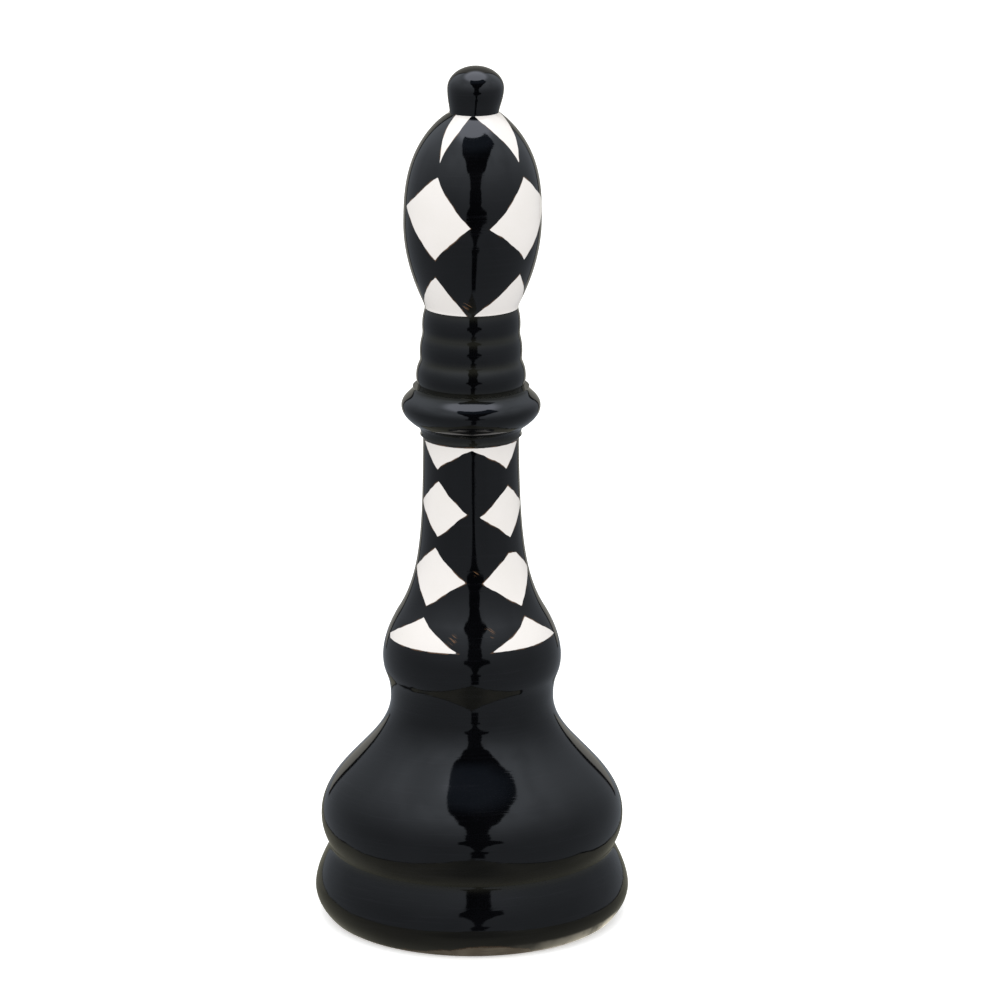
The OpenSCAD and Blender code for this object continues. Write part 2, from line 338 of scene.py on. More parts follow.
def hollow(line, low, high, wall):
    """The outer line moved in by the wall, measured square to it, between two heights."""
    line = evenly(line, 4 * MM)
    slope = np.minimum(np.abs(np.gradient(line[:, 0]) / np.gradient(line[:, 1])), 1.2)
    inner = np.stack([line[:, 0] - wall * np.sqrt(1 + slope**2), line[:, 1]], 1)
    return inner[(line[:, 1] > low) & (line[:, 1] < high)]


def casting_loop(line, low_r, top_r, w, step, grooves, pool=POOL):
    """A closed loop: up the outer face, over the rim, down the socket and the hollow, round the
    spigot and back under the face, with a lip that closes the joint to a fine line."""
    z0, z1 = line[0, 1], line[-1, 1]
    inner = hollow(line, z0 + 0.5 * MM, z1 - w.socket - 0.5 * MM, w.wall)
    foot = z0 - w.socket + 2 * w.cement
    spigot, bore = low_r - w.cement, low_r - w.wall + w.rim
    outer = pooled(evenly(line, step), grooves, pool)
    outer[0, 1] += w.lip_gap
    r0 = outer[0, 0]
    rim = [[top_r, z1], [top_r, z1 - w.socket], [inner[-1, 0], z1 - w.socket]]
    under = [[bore, inner[0, 1]], [bore, foot], [spigot, foot], [spigot, z0 + w.cement],
             [r0 - w.lip, z0 + w.cement], [r0 - w.lip, z0 + w.lip_gap]]
    return np.concatenate([outer, rim, inner[::-1], under])


def foot_loop(o, w, step):
    """A closed loop: up the outer face, over the rim, down the socket and the hollow to the
    floor, through the hole, and along the recess to the rounded standing ring. It comes with the
    count of its points on the outer face."""
    line = foot_line(o)
    stand_in, edge, bevel = o.stand_r - w.stand_width, 1 * MM, 0.6 * MM
    socket, deck = o.groove_r - w.rim, w.recess + w.floor
    inner = hollow(line, deck + 0.5 * MM, o.bell_z - w.socket - 0.5 * MM, w.wall)
    outer = pooled(evenly(line[line[:, 1] > 0.9 * MM], step), [o.bell_z], FOOT_POOL)
    a = np.linspace(math.pi / 2, 0, 7)[1:, None]
    inside = np.hstack([stand_in + edge - edge * np.sin(a), edge - edge * np.cos(a)])
    back = a[::-1]
    outside = np.hstack([o.stand_r - edge + 1.15 * edge * np.sin(back),
                         edge - edge * np.cos(back)])
    top = [[socket, o.bell_z], [socket, o.bell_z - w.socket], [inner[-1, 0], o.bell_z - w.socket]]
    deep = [[inner[0, 0], deck], [w.hole_r + bevel, deck], [w.hole_r, deck - bevel],
            [w.hole_r, w.recess + bevel], [w.hole_r + bevel, w.recess],
            [stand_in - 1.5 * MM, w.recess], [stand_in, w.recess - 1.5 * MM], [stand_in, edge]]
    ring = np.concatenate([inside, outside[:-1]])
    return np.concatenate([outer, top, inner[::-1], deep, ring]), len(outer)


# ---------------------------------------------------------------------------
# Surfaces
# ---------------------------------------------------------------------------

def smooth(low, high, x):
    """0 below low, 1 above high, and 3t^2 - 2t^3 between."""
    t = np.clip((x - low) / (high - low), 0, 1)
    return t * t * (3 - 2 * t)


def by_hand(r, a, z, hand):
    """Where the hand-made piece has the point (radius r, angle a, height z) of the true shape.
    The radius is multiplied by 1 + oval * (slow waves round and up the piece), and the middle
    drifts sideways by smooth steps of the height. The foot stays true, for its floor's sake."""
    phase = np.random.default_rng(hand.seed).uniform(0, 2 * math.pi, 4)
    wave = (0.5 * np.sin(2 * a + 9 * z + phase[0]) + 0.3 * np.sin(3 * a - 21 * z + phase[1])
            + 0.2 * np.sin(5 * a + 34 * z + phase[2]))
    grown = smooth(0.045, 0.085, z)
    r = r * (1 + hand.oval * wave * grown)
    drift = (hand.head_lean * smooth(0.345, 0.436, z) + hand.finial_lean * smooth(0.428, 0.45, z)
             - hand.collar_shift * smooth(0.17, 0.26, z) * (1 - smooth(0.3, 0.36, z)))
    back = 0.3 * MM * np.sin(14 * z + phase[3]) * grown
    return np.stack([r * np.sin(a) + drift, back - r * np.cos(a), z + 0 * a], -1)


def mesh_object(name, points, faces, crease=35):
    """Puts points and faces into a mesh; edges sharper than the crease stay sharp."""
    mesh = bpy.data.meshes.new(name)
    mesh.from_pydata(points, [], faces)
    mesh.polygons.foreach_set("use_smooth", np.ones(len(mesh.polygons), bool))
    mesh.set_sharp_from_angle(angle=math.radians(crease))
    mesh.update()
    if mesh.validate():
        raise RuntimeError(f"{name} had faces that don't hold")
    thing = bpy.data.objects.new(name, mesh)
    bpy.context.scene.collection.objects.link(thing)
    return thing


def quads(rows, columns, loop):
    """Faces between neighbours on a grid that closes sideways, and up and down if loop."""
    i = np.arange(rows if loop else rows - 1)[:, None]
    j = np.arange(columns)[None, :]
    up, on = (i + 1) % rows, (j + 1) % columns
    corners = [i * columns + j, i * columns + on, up * columns + on, up * columns + j]
    return np.stack(np.broadcast_arrays(*corners), -1).reshape(-1, 4)


def turned_grid(line, segments, hand, skin=None):
    """The line carried round the axis: the point at angle a is (r sin a, -r cos a, z), moved by
    hand. skin, if given, is taken off the radius at each point of the grid."""
    a = np.arange(segments)[None, :] * (2 * math.pi / segments)
    r, z = np.broadcast_arrays(line[:, :1], a)[0], np.broadcast_arrays(line[:, 1:], a)[0]
    return by_hand(r if skin is None else r - skin(a, z), a, z, hand), r, a + 0 * r, z


def in_groove(z, grooves, width=2.2 * MM):
    """1 in a groove, fading with the height from it as exp(-(height / width)^2). It marks where
    the glaze gets painted light in its grooves.
    """
    return sum(np.exp(-((z - g) / width)**2) for g in grooves)


def turned_loop(name, loop, segments, hand, skin=None):
    """A closed loop turned into a closed ring-shaped surface."""
    points, r, a, z = turned_grid(loop, segments, hand, skin)
    faces = quads(len(loop), segments, True)
    return mesh_object(name, points.reshape(-1, 3), faces.tolist()), r, a, z


def turned_solid(name, line, segments, hand):
    """A line that starts and ends on the axis, turned into a surface closed at both poles."""
    points = turned_grid(line[1:-1], segments, hand)[0].reshape(-1, 3)
    ends = by_hand(np.zeros(2), np.zeros(2), line[[0, -1], 1], hand)
    faces = quads(len(line) - 2, segments, False).tolist()
    j = np.arange(segments)
    on, count = (j + 1) % segments, len(points)
    low = np.stack([on, j, np.full(segments, count)], 1)
    last = count - segments
    high = np.stack([last + j, last + on, np.full(segments, count + 1)], 1)
    return mesh_object(name, np.concatenate([points, ends]),
                       faces + low.tolist() + high.tolist())


def add_field(thing, name, values):
    """Stores one number for each vertex."""
    field = thing.data.attributes.new(name, "FLOAT", "POINT")
    field.data.foreach_set("value", np.asarray(values, np.float32).ravel())


def place_piece(thing, node, finish):
    thing.data.materials.append(finish)
    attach(thing, BODY)
    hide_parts(node)


# ---------------------------------------------------------------------------
# Painted diamonds
# ---------------------------------------------------------------------------

def turn_between(a, b):
    """The angle from b to a, between -180 and 180 degrees."""
    return (a - b + math.pi) % (2 * math.pi) - math.pi


def diamond(a, z, r, at, height, side, reach, half, lift, bow):
    """How far inside one diamond each point is, in metres; outside is negative. With u the angle
    from the middle as a share of the reach on that side, and v the height from the middle as a
    share of half, the edge is where u^bow + v^bow = 1. The middle line climbs by lift from the
    middle to the outer tip and drops by it to the inner tip. reach and bow hold (inner, outer)."""
    out = turn_between(a, at) * side
    wide = np.where(out > 0, reach[1], reach[0])
    power = np.where(out > 0, bow[1], bow[0])
    u = np.abs(out) / wide
    v = np.abs(z - height - lift * np.clip(out / wide, -1, 1)) / half
    size = wide * np.maximum(r, 0.012)
    return (1 - (u**power + v**power)**(1 / power)) * size * half / np.hypot(size, half)


def brush_wobble(a, z, dice):
    """Slow waves of a hand-led brush, a fraction of a millimetre high."""
    p = dice.uniform(0, 2 * math.pi, 4)
    return MM * (0.2 * np.sin(9 * a + 130 * z + p[0]) + 0.14 * np.sin(15 * a - 210 * z + p[1])
                 + 0.06 * np.sin(31 * a + 420 * z + p[2]) + 0.04 * np.sin(43 * a - 610 * z + p[3]))


def column_of(k, left, right):
    """The angle and the side of column k: two in front and two behind, as far apart."""
    return ((left, -1), (right, 1), (math.pi + left - 0.09, 1), (math.pi + right + 0.05, -1))[k]


def head_paint(a, z, r, d, o, hand):
    """White diamonds in three rows: cut by the neck, whole, and cut by the finial. Each row has
    (inner reach, outer reach, inner bow, outer bow) of its first column and of the others, its
    lift, and its height as a share of the others'."""
    dice = np.random.default_rng(hand.seed + 1)
    inside = np.full(z.shape, OUTSIDE)
    rows = (((32, 44, 0.93, 1.0), (46, 39, 0.93, 1.0), 0, 1),
            ((32, 38, 0.93, 1.0), (36, 38, 0.93, 1.0), 3.4 * MM, 1),
            ((32, 15, 0.68, 0.9), (50, 38, 0.68, 0.76), 0, 1.07))
    for row, (first, others, lift, taller) in enumerate(rows):
        for k in range(4):
            at, side = column_of(k, d.head_left, d.head_right)
            inner, outer, bow_in, bow_out = first if k == 0 else others
            half = d.head_half * taller
            at = at + math.radians(dice.normal(0, 0.8))
            height = o.head_z + row * d.head_rows + dice.normal(0, 0.5) * MM
            inside = np.maximum(inside, diamond(
                a, z, r, at, height, side, (math.radians(inner), math.radians(outer)), half,
                lift, (bow_in, bow_out)))
    return inside + brush_wobble(a, z, dice)


def stem_paint(a, z, r, d, o, hand):
    """White diamonds in four rows up the stem, the highest cut by the collar and the lowest by
    the black of the knop."""
    dice = np.random.default_rng(hand.seed + 2)
    inside = np.full(z.shape, OUTSIDE)
    for row in range(4):
        for k in range(4):
            at, side = column_of(k, d.stem_left, d.stem_right)
            inner, outer = (37, 35) if k in (0, 2) else (39, 32)
            height = d.stem_low + row * d.stem_rows + dice.normal(0, 0.35) * MM
            half, bow_in = d.stem_half, 0.97
            if row == 3:                     # these meet in a thin line below the collar
                inner, bow_in = inner + 20, 0.84
            if (row, k) == (2, 1):           # this one starts lower than its neighbours
                height, half = height - 1.6 * MM, half * 0.93
            one = diamond(a, z, r, at + math.radians(dice.normal(0, 1)), height, side,
                          (math.radians(inner), math.radians(outer)), half, 1.4 * MM,
                          (bow_in, 1.0))
            if (row, k) == (1, 1):           # and this one has lost its top outer corner
                cut = d.stem_cut - z - 6 * MM * np.maximum(turn_between(a, at), -0.05)
                one = np.minimum(one, cut)
            inside = np.maximum(inside, one)
    inside = inside + brush_wobble(a, z, dice)
    swing = 0.6 * MM * np.sin(2 * a + 0.5) + 1.5 * MM * smooth(0.6, 1.5, turn_between(a, 0))
    knop = z - d.stem_low + 0.2 * MM - swing
    return np.minimum(np.minimum(inside, knop), d.collar_line - z)


def worn_patches(a, z, r, spots):
    """1 at the middle of each spot (angle, height, size), fading as exp(-(distance / size)^2)."""
    worn = np.zeros(z.shape)
    for at, height, size in spots:
        near = (turn_between(a, math.radians(at)) * r)**2 + (z - height)**2
        worn = np.maximum(worn, np.exp(-near / size**2))
    return worn


# ---------------------------------------------------------------------------
# Shader maths
# ---------------------------------------------------------------------------

def times(amount, tint):
    return tuple(amount * c for c in tint)


class Socket:
    """A shader socket in a sum: value + 1, 1 - value or value * mask adds its Math node."""

    def __init__(self, finish, socket):
        self.finish, self.socket = finish, socket

    def math(self, operation, *values):
        return self.finish.node("ShaderNodeMath", {"operation": operation},
                                dict(enumerate(values)))

    def __add__(self, other):
        return self.math("ADD", self, other)

    def __sub__(self, other):
        return self.math("SUBTRACT", self, other)

    def __rsub__(self, other):
        return self.math("SUBTRACT", other, self)

    def __mul__(self, other):
        return self.math("MULTIPLY", self, other)

    def __truediv__(self, other):
        return self.math("DIVIDE", self, other)

    def __abs__(self):
        return self.math("ABSOLUTE", self)

    def power(self, other):
        return self.math("POWER", self, other)

    def most(self, other):
        return self.math("MAXIMUM", self, other)

    def step(self, low, high):
        """0 at low, 1 at high, smooth between."""
        return self.finish.node("ShaderNodeMapRange", {"interpolation_type": "SMOOTHSTEP"},
                                {"Value": self, "From Min": low, "From Max": high})

    __radd__, __rmul__ = __add__, __mul__


class Finish:
    """One material, and the one way in which its nodes are added."""

    def __init__(self, name):
        self.material = bpy.data.materials.new(name)
        self.material.use_nodes = True
        self.tree = self.material.node_tree
        self.tree.nodes.clear()
        self.place = self.node("ShaderNodeTexCoord", output="Object")

    def node(self, kind, settings=None, inputs=None, output=0):
        made = self.tree.nodes.new(kind)
        for key, value in (settings or {}).items():
            setattr(made, key, value)
        for key, value in (inputs or {}).items():
            if isinstance(value, Socket):
                self.tree.links.new(value.socket, made.inputs[key])
            else:
                made.inputs[key].default_value = value
        return Socket(self, made.outputs[output])

    def stretched(self, x, y, z, turn=(0, 0, 0)):
        """The place, first turned and then scaled."""
        turned = self.node("ShaderNodeMapping", None, {"Vector": self.place, "Rotation": turn})
        return self.node("ShaderNodeMapping", None, {"Vector": turned, "Scale": (x, y, z)})

    def noise(self, scale, detail=2.0, rough=0.5, where=None):
        return self.node("ShaderNodeTexNoise", None,
                         {"Vector": where or self.place, "Scale": scale, "Detail": detail,
                          "Roughness": rough})

    def cells(self, scale, output="Distance"):
        return self.node("ShaderNodeTexVoronoi", None,
                         {"Vector": self.place, "Scale": scale}, output)

    def field(self, name):
        return self.node("ShaderNodeAttribute", {"attribute_name": name}, None, "Fac")

    def part(self, vector, axis):
        return self.node("ShaderNodeSeparateXYZ", None, {0: vector}, axis)

    def mix(self, amount, a, b):
        """From colour a to colour b."""
        a, b = [tuple(c) + (1.0,) if not isinstance(c, Socket) else c for c in (a, b)]
        return self.node("ShaderNodeMix", {"data_type": "RGBA"}, {0: amount, 6: a, 7: b}, 2)

    def bump(self, height, distance, normal=None):
        inputs = {"Height": height, "Distance": distance}
        if normal:
            inputs["Normal"] = normal
        return self.node("ShaderNodeBump", None, inputs)

    def specks(self, scale, size, part):
        """Round specks of this size in cells, in that part of the cells."""
        near = 1 - self.cells(scale).step(size * 0.6, size)
        picked = self.part(self.cells(scale, "Color"), 0).step(1 - part, 1 - part + 0.02)
        return near * picked

    def close(self, shader_inputs):
        shader = self.node("ShaderNodeBsdfPrincipled", None, shader_inputs)
        self.node_out(shader)
        return self.material

    def node_out(self, shader):
        out = self.tree.nodes.new("ShaderNodeOutputMaterial")
        self.tree.links.new(shader.socket, out.inputs["Surface"])

    def glow(self, light):
        """A surface that only shines."""
        self.node_out(self.node("ShaderNodeEmission", None, {"Color": light}))
        self.material.cycles.emission_sampling = "NONE"
        return self.material


def glaze(name, colours, painted=False, bare=False):
    """Glossy glaze: slow waves, orange peel, brush strokes, pinholes and dust in the surface. The
    field "groove" is 1 in a groove, where the colour is painted paler and warmer: painted light
    that lifts the shade of the groove. On a painted casting "paint" says how far inside a white
    diamond the point is, and "worn" where the black is rubbed brown. On the foot "bare" says how
    far below the edge of the glaze it is."""
    f = Finish(name)
    waves, peel = f.noise(38, 2), f.noise(240, 2)
    strokes = f.noise(1, 3, 0.6, f.stretched(24, 24, 900, (0.05, 0.03, 0)))
    pins, dust = f.specks(110, 0.035, 0.3), f.specks(420, 0.07, 0.16)
    grain = f.noise(3000, 1)
    stroke = strokes.step(0.52, 0.78)
    tint = f.mix(waves.step(0.3, 0.7), colours.black, colours.black_thick)
    tint = f.mix(stroke * 0.35, tint, (0.007, 0.007, 0.009))
    tint = f.mix(dust * 0.4, tint, (0.03, 0.03, 0.034))
    rough = 0.055 + waves * 0.02 + stroke * 0.02 + pins * 0.3 + dust * 0.08
    relief = stroke * 0.25 - pins * 0.8
    # Paler, warmer colour in each groove: painted light that lifts the shade of the groove.
    tint = f.mix(f.field("groove"), tint, (0.0115, 0.0115, 0.009))
    if painted:
        paint = f.field("paint") * 1000 + (f.noise(300, 2) - 0.5) * 0.35
        white = paint.step(-0.1, 0.12)
        edge = (1 - (abs(paint + 0.15)).step(0.12, 0.5)) * f.noise(160, 1).step(0.42, 0.62)
        low = f.field("worn").step(0.3, 0.9)
        scratch = f.noise(1, 1, 0.5, f.stretched(160, 160, 1500, (0, -0.6, 0))).step(0.55, 0.66)
        brown = (edge * 0.85).most(low * scratch) * (1 - white * 0.6)
        chalk = f.mix(f.noise(70, 2).step(0.3, 0.75), colours.white, (0.78, 0.75, 0.725))
        chalk = f.mix(f.specks(300, 0.06, 0.08) * 0.5, chalk, (0.42, 0.33, 0.24))
        tint = f.mix(white, tint, chalk)
        tint = f.mix(brown, tint, colours.thin)
        rough = rough + brown * 0.12 + white * 0.02
        relief = relief + (1 - white) * 0.9
    if bare:
        edge = f.field("bare") * 1000 + (f.noise(260, 3) - 0.5) * 1.6
        clay = edge.step(-0.15, 0.2)
        rind = 1 - abs(edge + 0.25).step(0.1, 0.75)
        mud = f.mix(f.noise(90, 4).step(0.35, 0.75), colours.clay, (0.105, 0.085, 0.056))
        mud = f.mix(f.noise(1, 2, 0.5, f.stretched(60, 60, 1400)).step(0.5, 0.7) * 0.6, mud,
                    (0.045, 0.035, 0.026))
        tint = f.mix(rind * 0.6, tint, times(0.45, colours.thin))
        tint = f.mix(clay, tint, mud)
        rough = rough * (1 - clay) + clay * (0.62 + grain * 0.2)
        relief = relief + (1 - clay) * 5 + clay * grain * 2.5
    normal = f.bump(waves, 0.16 * MM)
    normal = f.bump(peel, 0.007 * MM, normal)
    normal = f.bump(relief, 0.035 * MM, normal)
    return f.close({"Base Color": tint, "Roughness": rough, "Normal": normal, "IOR": 1.5})


def grainy(name, tint, dark, scale, rough, depth):
    """A dull cast surface: cloudy colour, small pores and a fine grain."""
    f = Finish(name)
    cloud, grain = f.noise(scale, 4, 0.6), f.noise(scale * 14, 3, 0.6)
    pores = f.specks(scale * 4, 0.12, 0.35)
    colour_ = f.mix(cloud.step(0.3, 0.7), tint, dark)
    colour_ = f.mix(pores * 0.6, colour_, times(0.4, dark))
    normal = f.bump(grain - pores * 2, depth)
    return f.close({"Base Color": colour_, "Roughness": rough + grain * 0.12 - 0.06,
                    "Normal": normal})


def moulded_rubber(name, tint):
    """Dull rubber: a bloom that gathers in clouds, fine tooling rings and pale specks."""
    f = Finish(name)
    x, y = f.part(f.place, 0), f.part(f.place, 1)
    radius = (x * x + y * y).power(0.5)
    rings = radius.math("SINE", radius * 5200)
    bloom = f.noise(120, 4, 0.65)
    base = f.mix(bloom.step(0.35, 0.75), tint, tuple(min(1, 2.4 * c + 0.01) for c in tint))
    base = f.mix(f.specks(500, 0.1, 0.2) * 0.5, base, (0.16, 0.155, 0.145))
    normal = f.bump(rings * 0.5 + f.noise(900, 3) * 1.5, 0.03 * MM)
    return f.close({"Base Color": base, "Roughness": 0.5 + bloom * 0.25, "Normal": normal})


# ---------------------------------------------------------------------------
# Operators
# ---------------------------------------------------------------------------

def sizes(context):
    s = context.scene
    return s.bishop_outline, s.bishop_walls, s.bishop_hand, s.bishop_colours


class BISHOP_OT_foot(Operator):
    """Turns the foot with its floor, hole and standing ring, and its uneven edge of glaze"""
    bl_idname = "bishop.foot"
    bl_label = "Foot"

    def execute(self, context):
        o, w, hand, colours = sizes(context)
        loop, faces_out = foot_loop(o, w, 1.0 * MM)

        def skin(a, z):
            """Slow waves taken off the outer face only, so the foot stays in its box."""
            out = np.zeros(len(loop))
            out[:faces_out] = smooth(0, 6 * MM, loop[:faces_out, 1])
            wave = 0.5 + 0.3 * np.sin(3 * a + 60 * z + 1) + 0.2 * np.sin(7 * a - 90 * z)
            return hand.skin * wave * out[:, None]

        thing, r, a, z = turned_loop("foot", loop, 320, hand, skin)
        front = turn_between(a, math.radians(4))
        bald = np.exp(-(front / 0.34)**2) * (1 - smooth(0.3, 0.36, front))
        bald = bald + 0.6 * np.exp(-(turn_between(a, math.radians(160)) / 0.6)**2)
        edge = MM * (0.7 + 6.0 * bald + 0.3 * np.sin(5 * a + 1) + 0.25 * np.sin(13 * a)
                     + 0.15 * np.sin(29 * a + 2))
        under = (np.arange(len(loop)) >= faces_out)[:, None] & (r > w.hole_r + 3 * MM)
        under = under & (z < 0.9 * w.recess) & (r > o.stand_r - w.stand_width - 2 * MM)
        add_field(thing, "bare", np.where(under, 4 * MM, edge - z))
        add_field(thing, "groove", in_groove(z, [o.bell_z]))
        place_piece(thing, "foot_casting",
                    glaze("foot_glaze", colours, bare=True))
        return {"FINISHED"}


class BISHOP_OT_black_castings(Operator):
    """Turns the hollow castings that are black all over: bell, collar and neck"""
    bl_idname = "bishop.black_castings"
    bl_label = "Bell, Collar and Neck"

    def execute(self, context):
        o, w, hand, colours = sizes(context)
        finish = glaze("plain_glaze", colours)
        ribs = np.linspace(o.neck_z, o.head_z, 4)
        for name, line, low, top, grooves, pool in (
                ("bell", bell_line(o), o.groove_r, o.waist_r, [o.bell_z], FOOT_POOL),
                ("collar", collar_line(o), o.stem_r, o.neck_low_r, [o.collar_z, o.neck_z], POOL),
                ("neck", neck_line(o), o.neck_low_r, o.neck_top_r, ribs, POOL)):
            loop = casting_loop(line, low - w.rim, top - w.rim, w, 0.7 * MM, grooves, pool)
            thing, r, a, z = turned_loop(name, loop, 288, hand)
            add_field(thing, "groove", in_groove(z, grooves))
            place_piece(thing, name + "_casting", finish)
        return {"FINISHED"}


class BISHOP_OT_painted_castings(Operator):
    """Turns the stem and the mitre, and paints their white diamonds"""
    bl_idname = "bishop.painted_castings"
    bl_label = "Stem and Mitre"

    def execute(self, context):
        o, w, hand, colours = sizes(context)
        d = context.scene.bishop_diamonds
        finish = glaze("diamond_glaze", colours, painted=True)
        stem_spots = ((13, 166 * MM, 3.5 * MM), (-14, 163 * MM, 3 * MM), (3, 195 * MM, 2.5 * MM),
                      (150, 190 * MM, 3.5 * MM))
        head_spots = ((-5, 339 * MM, 3 * MM), (190, 352 * MM, 3.5 * MM))
        for name, line, low, top, paint, spots, grooves in (
                ("stem", stem_line(o), o.waist_r, o.stem_r, stem_paint, stem_spots,
                 [o.collar_z]),
                ("head", head_line(o), o.neck_top_r, o.throat_r, head_paint, head_spots,
                 [o.head_z])):
            loop = casting_loop(line, low - w.rim, top - w.rim, w, 0.75 * MM, grooves)
            thing, r, a, z = turned_loop(name, loop, 360, hand)
            add_field(thing, "groove", in_groove(z, grooves))
            add_field(thing, "paint", paint(a, z, r, d, o, hand))
            add_field(thing, "worn", worn_patches(a, z, r, spots))
            place_piece(thing, name + "_casting", finish)
        return {"FINISHED"}


class BISHOP_OT_finial(Operator):
    """Turns the solid finial with its spigot"""
    bl_idname = "bishop.finial"
    bl_label = "Finial"

    def execute(self, context):
        o, w, hand, colours = sizes(context)
        outer = evenly(finial_line(o), 0.6 * MM)
        outer[0, 1] += w.lip_gap
        spigot, z = o.throat_r - w.rim - w.cement, o.finial_z
        foot = z - w.socket + 2 * w.cement
        under = [[0, foot], [spigot * 0.5, foot], [spigot, foot], [spigot, z + w.cement],
                 [o.throat_r - w.lip, z + w.cement], [o.throat_r - w.lip, z + w.lip_gap]]
        outer[-1, 0] = 0
        thing = turned_solid("finial", np.concatenate([under, outer]), 240, hand)
        place_piece(thing, "finial_casting", glaze("finial_glaze", colours))
        return {"FINISHED"}


class BISHOP_OT_cement(Operator):
    """Turns the cement in the joints: a flat bed and a sleeve round each spigot"""
    bl_idname = "bishop.cement"
    bl_label = "Cement"

    def execute(self, context):
        o, w, hand, colours = sizes(context)
        finish = grainy("joint_cement", colours.cement, (0.45, 0.41, 0.34), 260, 0.85, 0.1 * MM)
        for name, z, face in (
                ("foot", o.bell_z, o.groove_r), ("waist", o.stem_z, o.waist_r),
                ("collar", o.collar_z, o.stem_r), ("neck", o.neck_z, o.neck_low_r),
                ("head", o.head_z, o.neck_top_r), ("finial", o.finial_z, o.throat_r)):
            socket, foot = face - w.rim, z - w.socket + 2 * w.cement
            sleeve, out = socket - w.cement, face - w.cement_back
            loop = np.array([[socket, foot], [socket, z], [out, z], [out, z + w.cement],
                             [sleeve, z + w.cement], [sleeve, foot]])
            thing = turned_loop(name + "_joint", loop, 192, hand)[0]
            place_piece(thing, name + "_cement", finish)
        return {"FINISHED"}


class BISHOP_OT_ballast_and_stopper(Operator):
    """Gives the ballast and the stopper their plaster and rubber"""
    bl_idname = "bishop.ballast_and_stopper"
    bl_label = "Ballast and Stopper"

    def execute(self, context):
        c = context.scene.bishop_colours
        plaster = grainy("cast_plaster", c.plaster, (0.66, 0.62, 0.56), 90, 0.8, 0.15 * MM)
        rubber = moulded_rubber("stopper_rubber", c.rubber)
        for node, finish in (("ballast", plaster), ("fill_stopper", rubber)):
            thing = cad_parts[node]
            thing.data.materials.clear()
            thing.data.materials.append(finish)
        return {"FINISHED"}


def glossy_only(thing):
    """Seen by mirror rays alone: it neither shows, nor lights, nor shades anything else."""
    thing.visible_camera = thing.visible_diffuse = thing.visible_shadow = False
    thing.visible_transmission = thing.visible_volume_scatter = False


def tent_gap(a, z, middle):
    """How far inside the dark gap a place on the wall is, in degrees. The gap is centred a little
    right of the front. It bulges 0.3 m up, widens like a V from 0.8 m and closes above 2.2 m, and
    its edges are slightly wavy."""
    height, left, right = zip(*TENT_GAP)
    turn = np.degrees(turn_between(a, middle))
    wavy = 0.6 * np.sin(17 * z) + 0.3 * np.sin(61 * z + 1) + 0.15 * np.sin(140 * z)
    half = np.where(turn > 0, np.interp(z, height, right), np.interp(z, height, left))
    return half + wavy * smooth(1, 8, half) - np.abs(turn)


def tent_finish(stage):
    """Grey walls, lighter higher up, with a soft lamp overhead, a dark gap in front and a paler
    backdrop behind a dark line."""
    f = Finish("tent_walls")
    gap = f.field("gap").step(-0.25, 0.25)
    up, behind = f.field("up"), f.field("behind")
    wall = f.mix(up.step(0.1, 1.25), times(0.32, stage.wall_light),
                 times(1.18, stage.wall_light))
    wall = f.mix(f.noise(2.2, 1).step(0.35, 0.75) * 0.3, wall, times(0.4, stage.wall_light))
    wall = f.mix(behind.step(0, 0.02), wall, (0.01, 0.01, 0.01))
    wall = f.mix(behind.step(0.07, 0.09), wall, (0.44, 0.43, 0.39))
    wall = f.mix(up.step(1.4, 2.25), wall, times(stage.lamp_power, stage.lamp_light))
    dark = f.mix(up.step(1.1, 1.7), (0.002, 0.002, 0.003), (0.10, 0.13, 0.18))
    return f.glow(f.mix(gap, wall, dark))


def floor_mirror_finish(stage):
    """What the glaze mirrors below: a dim floor that narrows like a V to the front and is darker
    in its middle, with a bright strip beside the foot. Round it runs a dark line, and beyond are
    the walls and the foot of the gap between them."""
    f = Finish("tent_floor")
    x, y = f.part(f.place, 0), f.part(f.place, 1)
    wavy = (f.noise(12, 1) - 0.5) * 0.02
    middle = (1 - abs(x).step(0.01, 0.07)) * (-0.09 - y).step(0, 0.02)
    beyond = (abs(x) * 1.72 - 0.29 - y).most(abs(x + 0.015) - 0.155).most(y - 0.3) + wavy
    near = f.mix(f.noise(14, 2).step(0.3, 0.7), stage.floor_light, times(0.8, stage.floor_light))
    near = f.mix(middle * 0.5, near, (0.05, 0.055, 0.045))
    reach = (x * x + y * y).power(0.5)
    shine = (1 - reach.step(0.082, 0.0855)) * (x - 0.016).step(0, 0.03) * (0 - y).step(0, 0.03)
    near = f.mix(shine * f.noise(60, 3).step(0.2, 0.6), near, (1.35, 1.25, 1.0))
    seam = beyond.step(0, 0.002) * (1 - beyond.step(0.007, 0.009))
    lean = abs(x + y * math.tan(stage.gap))
    gap = (1 - (lean + y * 0.08).step(-0.003, 0.003)) * (-0.3 - y).step(0, 0.01)
    far = f.mix(gap, times(0.33, stage.wall_light), (0.004, 0.004, 0.006))
    light = f.mix(beyond.step(0.002, 0.004), near, far)
    light = f.mix(seam, light, (0.01, 0.01, 0.01))
    return f.glow(light)


def pale_floor_finish():
    """A plain floor, solid from above and clear from below, so that the underside can be seen."""
    f = Finish("pale_floor")
    tint = f.mix(f.noise(1.2, 2), (0.93, 0.93, 0.925), (0.95, 0.95, 0.945))
    solid = f.node("ShaderNodeBsdfPrincipled", None, {
        "Base Color": tint, "Roughness": 0.85 + f.noise(400, 2) * 0.1,
        "Emission Color": tint, "Emission Strength": 0.42})
    from_below = f.node("ShaderNodeNewGeometry", output="Backfacing")
    clear = f.node("ShaderNodeBsdfTransparent")
    f.node_out(f.node("ShaderNodeMixShader", None, {0: from_below, 1: solid, 2: clear}))
    return f.material


def flat_square(name, size, height):
    """A level square round the origin."""
    half = size / 2
    points = [(half * x, half * y, height) for x, y in ((-1, -1), (1, -1), (1, 1), (-1, 1))]
    return mesh_object(name, points, [(0, 1, 2, 3)])


